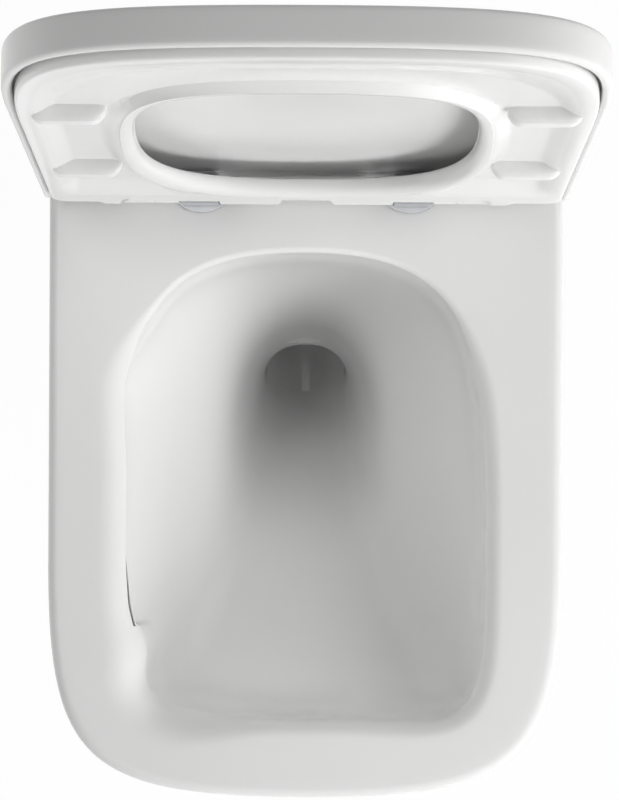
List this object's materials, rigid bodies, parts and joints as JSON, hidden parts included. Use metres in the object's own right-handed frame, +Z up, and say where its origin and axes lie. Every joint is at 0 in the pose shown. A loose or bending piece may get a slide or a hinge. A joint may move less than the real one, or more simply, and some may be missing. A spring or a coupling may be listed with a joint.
{
  "type": "wall hung toilet",
  "caption": "Wall hung toilet: rimless ceramic pan with a rounded square front, and a soft-close seat and lid that swing on one hinge line; fixed to the wall from the sides.",
  "frame": {"origin": "on the wall face, midway between the two wall fixings", "axes": "+X to the right of someone facing the toilet, +Y into the wall, +Z up"},
  "size_m": [0.3654, 0.51, 0.7847],
  "materials": {
    "glaze": "gloss",
    "seat_plastic": "gloss",
    "lid_plastic": "gloss",
    "cap_plastic": "gloss",
    "damper_plastic": "matte",
    "bush_plastic": "matte",
    "buffer_rubber": "matte",
    "seal_rubber": "matte",
    "chrome": "polished",
    "steel": "satin",
    "brass": "satin"
  },
  "bodies": {
    "pan": {"pan": "glaze", "bowl": "glaze", "sump": "glaze", "trap": "glaze", "inlet_boss": "glaze", "flush_duct": "glaze", "hinge_disc_left": "chrome", "hinge_disc_right": "chrome", "hinge_gasket_left": "seal_rubber", "hinge_gasket_right": "seal_rubber", "hinge_post_left": "chrome", "hinge_post_right": "chrome", "hinge_pin_left": "steel", "hinge_pin_right": "steel", "hinge_screw_left": "steel", "hinge_screw_right": "steel", "expansion_sleeve_left": "seal_rubber", "expansion_sleeve_right": "seal_rubber", "sleeve_nut_left": "brass", "sleeve_nut_right": "brass", "wall_bracket_left": "steel", "wall_bracket_right": "steel", "stud_washer_left": "steel", "stud_washer_right": "steel", "stud_nut_left": "steel", "stud_nut_right": "steel", "side_bush_left": "bush_plastic", "side_bush_right": "bush_plastic", "side_bolt_left": "steel", "side_bolt_right": "steel", "side_cover_left": "cap_plastic", "side_cover_right": "cap_plastic"},
    "seat": {"seat": "seat_plastic", "seat_damper": "damper_plastic", "seat_bush": "bush_plastic", "seat_buffer_rear_left": "buffer_rubber", "seat_buffer_rear_right": "buffer_rubber", "seat_buffer_front_left": "buffer_rubber", "seat_buffer_front_right": "buffer_rubber"},
    "lid": {"lid": "lid_plastic", "lid_damper": "damper_plastic", "lid_bush": "bush_plastic", "lid_buffer_left": "buffer_rubber", "lid_buffer_right": "buffer_rubber", "hinge_cap_left": "cap_plastic", "hinge_cap_right": "cap_plastic"}
  },
  "joints": [
    {"name": "lid_hinge", "type": "hinge", "parent": "pan", "child": "lid", "pos_m": [0, -0.085, 0.096], "axis": [1, 0, 0], "range_deg": [0, 97.5]},
    {"name": "seat_hinge", "type": "hinge", "parent": "pan", "child": "seat", "pos_m": [0, -0.085, 0.096], "axis": [1, 0, 0], "range_deg": [0, 97.5]}
  ],
  "couplings": [
    {"joint": "seat_hinge", "follows": "lid_hinge", "ratio": 1}
  ]
}
